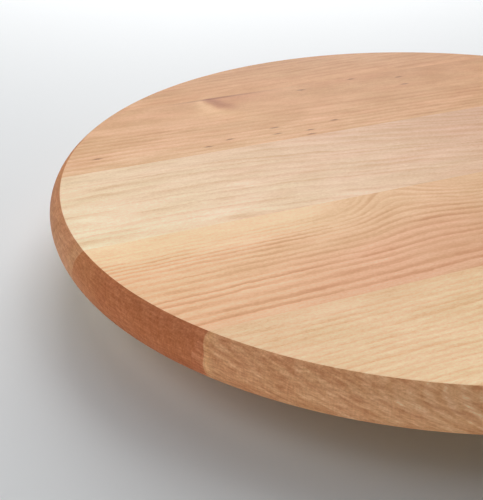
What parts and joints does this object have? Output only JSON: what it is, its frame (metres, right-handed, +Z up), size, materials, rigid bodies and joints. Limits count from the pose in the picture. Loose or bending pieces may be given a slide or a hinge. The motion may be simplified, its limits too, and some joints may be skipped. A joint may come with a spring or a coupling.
{
  "type": "lazy susan turntable",
  "caption": "Round wooden table turntable: an edge-glued tray with a rounded rim that spins on a flat square ball bearing over a smaller footed base disc.",
  "frame": {"origin": "on the floor, under the axis of rotation", "axes": "+Z up along the axis of rotation, +X along the tray's grain"},
  "size_m": [0.39, 0.39, 0.041],
  "materials": {
    "tray_wood_rear_outer": "oiled satin, tan, wavy figure",
    "tray_wood_rear_inner": "oiled satin, tan to pink with small knot",
    "tray_wood_middle": "oiled satin, pale and plain",
    "tray_wood_front_inner": "oiled satin, pinkish, hill-shaped grain",
    "tray_wood_front_outer": "oiled satin, honey, fine straight grain",
    "base_wood_rear": "oiled satin",
    "base_wood_middle": "oiled satin",
    "base_wood_front": "oiled satin",
    "zinc_plated_steel": "zinc plated pressed sheet, satin",
    "screw_steel": "zinc plated, satin",
    "ball_steel": "polished bearing steel",
    "cage_nylon": "natural nylon, matte",
    "foot_rubber": "dark rubber, matte"
  },
  "bodies": {
    "base": {"base_stave_rear": "base_wood_rear", "base_stave_middle": "base_wood_middle", "base_stave_front": "base_wood_front", "lower_race_plate": "zinc_plated_steel", "lower_plate_screws": "screw_steel", "foot_rear_left": "foot_rubber", "foot_rear_right": "foot_rubber", "foot_front_left": "foot_rubber", "foot_front_right": "foot_rubber", "foot_washers": "screw_steel", "foot_screws": "screw_steel"},
    "turntable": {"tray_stave_rear_outer": "tray_wood_rear_outer", "tray_stave_rear_inner": "tray_wood_rear_inner", "tray_stave_middle": "tray_wood_middle", "tray_stave_front_inner": "tray_wood_front_inner", "tray_stave_front_outer": "tray_wood_front_outer", "upper_race_plate": "zinc_plated_steel", "upper_plate_screws": "screw_steel"},
    "ball_set": {"ball_cage": "cage_nylon", "bearing_balls": "ball_steel"}
  },
  "joints": [
    {"name": "top_spin", "type": "hinge", "parent": "base", "child": "turntable", "pos_m": [0, 0, 0.02], "axis": [0, 0, 1], "continuous": true},
    {"name": "ball_orbit", "type": "hinge", "parent": "base", "child": "ball_set", "pos_m": [0, 0, 0.02], "axis": [0, 0, 1], "continuous": true}
  ],
  "couplings": [
    {"joint": "ball_orbit", "follows": "top_spin", "ratio": 0.5}
  ]
}
